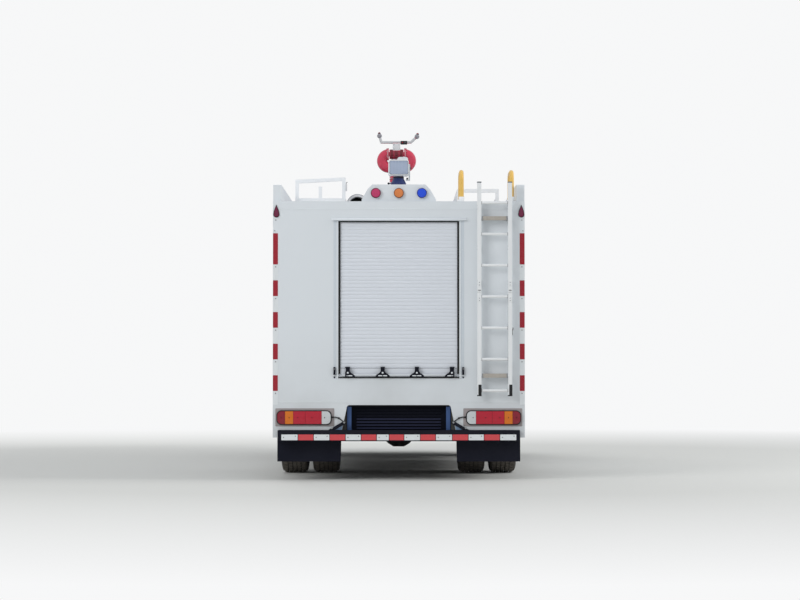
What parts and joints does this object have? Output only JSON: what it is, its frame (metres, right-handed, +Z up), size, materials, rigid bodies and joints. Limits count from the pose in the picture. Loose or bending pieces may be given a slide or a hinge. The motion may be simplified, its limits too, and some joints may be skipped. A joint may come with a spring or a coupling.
{
  "type": "airport fire truck",
  "caption": "White cab-over fire truck with a crew cab, box body with roller shutters, twin rear wheels, rear ladder, roof monitor and searchlight.",
  "frame": {"origin": "on the ground, in the middle of the truck's length and width", "axes": "+Y forwards to the cab, +X to the truck's right, +Z up"},
  "size_m": [3.03, 8.4, 3.575],
  "materials": {
    "frame": "satin",
    "running_gear": "matt",
    "tank_metal": "brushed",
    "tyre": "matt",
    "rim": "satin",
    "white_paint": "gloss",
    "floor": "satin",
    "glass": "clear",
    "seat": "woven",
    "dark_plastic": "grained",
    "lamp": "clear",
    "blue_lamp": "clear",
    "red_lamp": "clear",
    "shutter": "anodised",
    "black_paint": "satin",
    "grey_tube": "smooth",
    "yellow_paint": "gloss",
    "ladder_metal": "satin",
    "rubber": "matt",
    "red_paint": "gloss",
    "navy_paint": "satin"
  },
  "bodies": {
    "chassis": {"frame_rails": "frame", "front_axle": "running_gear", "rear_axle": "running_gear", "leaf_springs": "running_gear", "powertrain": "running_gear", "chassis_tanks": "tank_metal", "cab_floor": "floor", "cab_sides": "white_paint", "cab_ends": "white_paint", "cab_roof": "white_paint", "cab_glass": "glass", "cab_seats": "seat", "dashboard": "dark_plastic", "cab_steps": "dark_plastic", "front_bumper": "white_paint", "front_grille": "dark_plastic", "headlamps": "lamp", "mirrors": "dark_plastic", "light_bar": "blue_lamp", "body_sides": "white_paint", "body_ends": "white_paint", "body_deck": "white_paint", "body_floor": "floor", "side_shutters": "shutter", "rear_shutter": "shutter", "lift_bar": "black_paint", "roof_racks": "white_paint", "suction_tubes": "grey_tube", "hand_rails": "yellow_paint", "ladder_upper": "ladder_metal", "underrun_bar": "black_paint", "mudflaps": "rubber", "rear_lamps": "red_lamp", "monitor_base": "red_paint", "searchlight_post": "navy_paint"},
    "knuckle_left": {"knuckle_left": "running_gear"},
    "knuckle_right": {"knuckle_right": "running_gear"},
    "wheel_front_left": {"tyre_front_left": "tyre", "rim_front_left": "rim"},
    "wheel_front_right": {"tyre_front_right": "tyre", "rim_front_right": "rim"},
    "wheels_rear_left": {"tyres_rear_left": "tyre", "rims_rear_left": "rim"},
    "wheels_rear_right": {"tyres_rear_right": "tyre", "rims_rear_right": "rim"},
    "door_front_left": {"door_front_left": "white_paint", "glass_front_left": "glass"},
    "door_front_right": {"door_front_right": "white_paint", "glass_front_right": "glass"},
    "door_crew_left": {"door_crew_left": "white_paint", "glass_crew_left": "glass"},
    "door_crew_right": {"door_crew_right": "white_paint", "glass_crew_right": "glass"},
    "flap_left": {"flap_left": "shutter"},
    "flap_right": {"flap_right": "shutter"},
    "ladder_lower": {"ladder_lower": "ladder_metal"},
    "monitor_body": {"monitor_body": "red_paint"},
    "monitor_barrel": {"monitor_barrel": "red_paint"},
    "searchlight_head": {"searchlight_head": "white_paint"}
  },
  "joints": [
    {"name": "steer_left", "type": "hinge", "parent": "chassis", "child": "knuckle_left", "pos_m": [-0.87, 2.65, 0.53], "axis": [0, 0, 1], "range_deg": [-35, 35]},
    {"name": "steer_right", "type": "hinge", "parent": "chassis", "child": "knuckle_right", "pos_m": [0.87, 2.65, 0.53], "axis": [0, 0, 1], "range_deg": [-35, 35]},
    {"name": "spin_front_left", "type": "hinge", "parent": "knuckle_left", "child": "wheel_front_left", "pos_m": [-1, 2.65, 0.53], "axis": [1, 0, 0], "continuous": true},
    {"name": "spin_front_right", "type": "hinge", "parent": "knuckle_right", "child": "wheel_front_right", "pos_m": [1, 2.65, 0.53], "axis": [1, 0, 0], "continuous": true},
    {"name": "spin_rear_left", "type": "hinge", "parent": "chassis", "child": "wheels_rear_left", "pos_m": [-0.93, -2.25, 0.53], "axis": [1, 0, 0], "continuous": true},
    {"name": "spin_rear_right", "type": "hinge", "parent": "chassis", "child": "wheels_rear_right", "pos_m": [0.93, -2.25, 0.53], "axis": [1, 0, 0], "continuous": true},
    {"name": "door_front_left_swing", "type": "hinge", "parent": "chassis", "child": "door_front_left", "pos_m": [-1.245, 3.956, 1.9], "axis": [0, 0, -1], "range_deg": [0, 70]},
    {"name": "door_crew_left_swing", "type": "hinge", "parent": "chassis", "child": "door_crew_left", "pos_m": [-1.245, 2.336, 1.9], "axis": [0, 0, -1], "range_deg": [0, 70]},
    {"name": "flap_left_fold", "type": "hinge", "parent": "chassis", "child": "flap_left", "pos_m": [-1.25, 0.3, 0.484], "axis": [0, -1, 0], "range_deg": [0, 90]},
    {"name": "door_front_right_swing", "type": "hinge", "parent": "chassis", "child": "door_front_right", "pos_m": [1.245, 3.956, 1.9], "axis": [0, 0, 1], "range_deg": [0, 70]},
    {"name": "door_crew_right_swing", "type": "hinge", "parent": "chassis", "child": "door_crew_right", "pos_m": [1.245, 2.336, 1.9], "axis": [0, 0, 1], "range_deg": [0, 70]},
    {"name": "flap_right_fold", "type": "hinge", "parent": "chassis", "child": "flap_right", "pos_m": [1.25, 0.3, 0.484], "axis": [0, 1, 0], "range_deg": [0, 90]},
    {"name": "ladder_fold", "type": "hinge", "parent": "chassis", "child": "ladder_lower", "pos_m": [0.949, -4.192, 1.865], "axis": [-1, 0, 0], "range_deg": [0, 170]},
    {"name": "monitor_pan", "type": "hinge", "parent": "chassis", "child": "monitor_body", "pos_m": [-0.024, -2.75, 3.09], "axis": [0, 0, 1], "range_deg": [-120, 120]},
    {"name": "monitor_tilt", "type": "hinge", "parent": "monitor_body", "child": "monitor_barrel", "pos_m": [-0.024, -2.75, 3.345], "axis": [1, 0, 0], "range_deg": [-10, 75]},
    {"name": "searchlight_pan", "type": "hinge", "parent": "chassis", "child": "searchlight_head", "pos_m": [-0.003, -3.25, 3.075], "axis": [0, 0, 1], "range_deg": [-170, 170]}
  ],
  "couplings": [
    {"joint": "steer_right", "follows": "steer_left", "ratio": 1}
  ]
}
